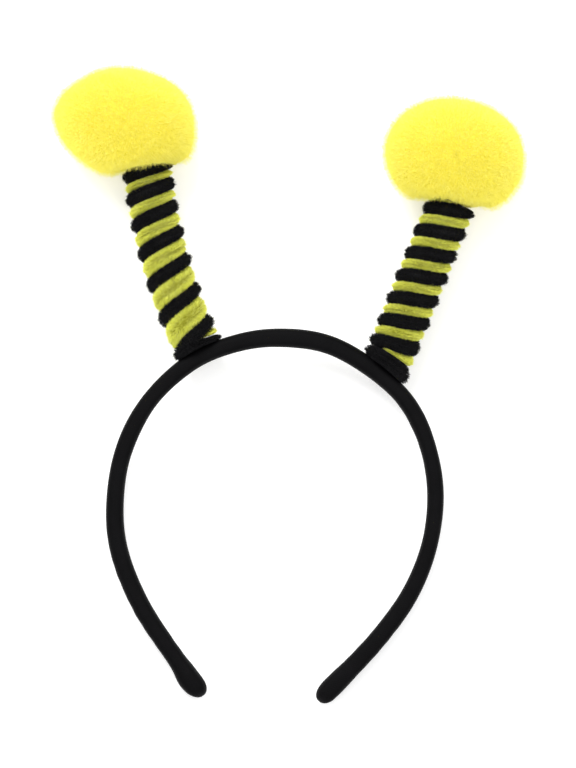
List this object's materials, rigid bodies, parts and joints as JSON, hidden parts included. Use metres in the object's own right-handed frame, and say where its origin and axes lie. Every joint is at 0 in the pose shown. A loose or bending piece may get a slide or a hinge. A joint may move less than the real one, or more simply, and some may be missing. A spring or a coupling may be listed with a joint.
{
  "type": "bee antenna headband",
  "caption": "Springy hoop under black cloth, with antennae wound in black and yellow chenille stems and topped by yellow pompoms, lying on its side.",
  "frame": {"origin": "middle of the bounding box, on the surface that the headband lies on", "axes": "+Z up from the surface, +Y from the tips of the hoop to the pompoms, +X to the right as seen from above with +Y up"},
  "size_m": [0.1732, 0.2352, 0.0447],
  "materials": {
    "band_cloth": "smooth black cloth with a slight sheen",
    "black_chenille": "soft matt pile",
    "yellow_chenille": "soft matt pile",
    "pompom_pile": "dense soft pile",
    "post": "plain"
  },
  "bodies": {
    "root": {"band": "band_cloth", "left_post": "post", "left_black_chenille": "black_chenille", "left_yellow_chenille": "yellow_chenille", "left_pompom": "pompom_pile", "right_post": "post", "right_black_chenille": "black_chenille", "right_yellow_chenille": "yellow_chenille", "right_pompom": "pompom_pile"}
  },
  "joints": []
}
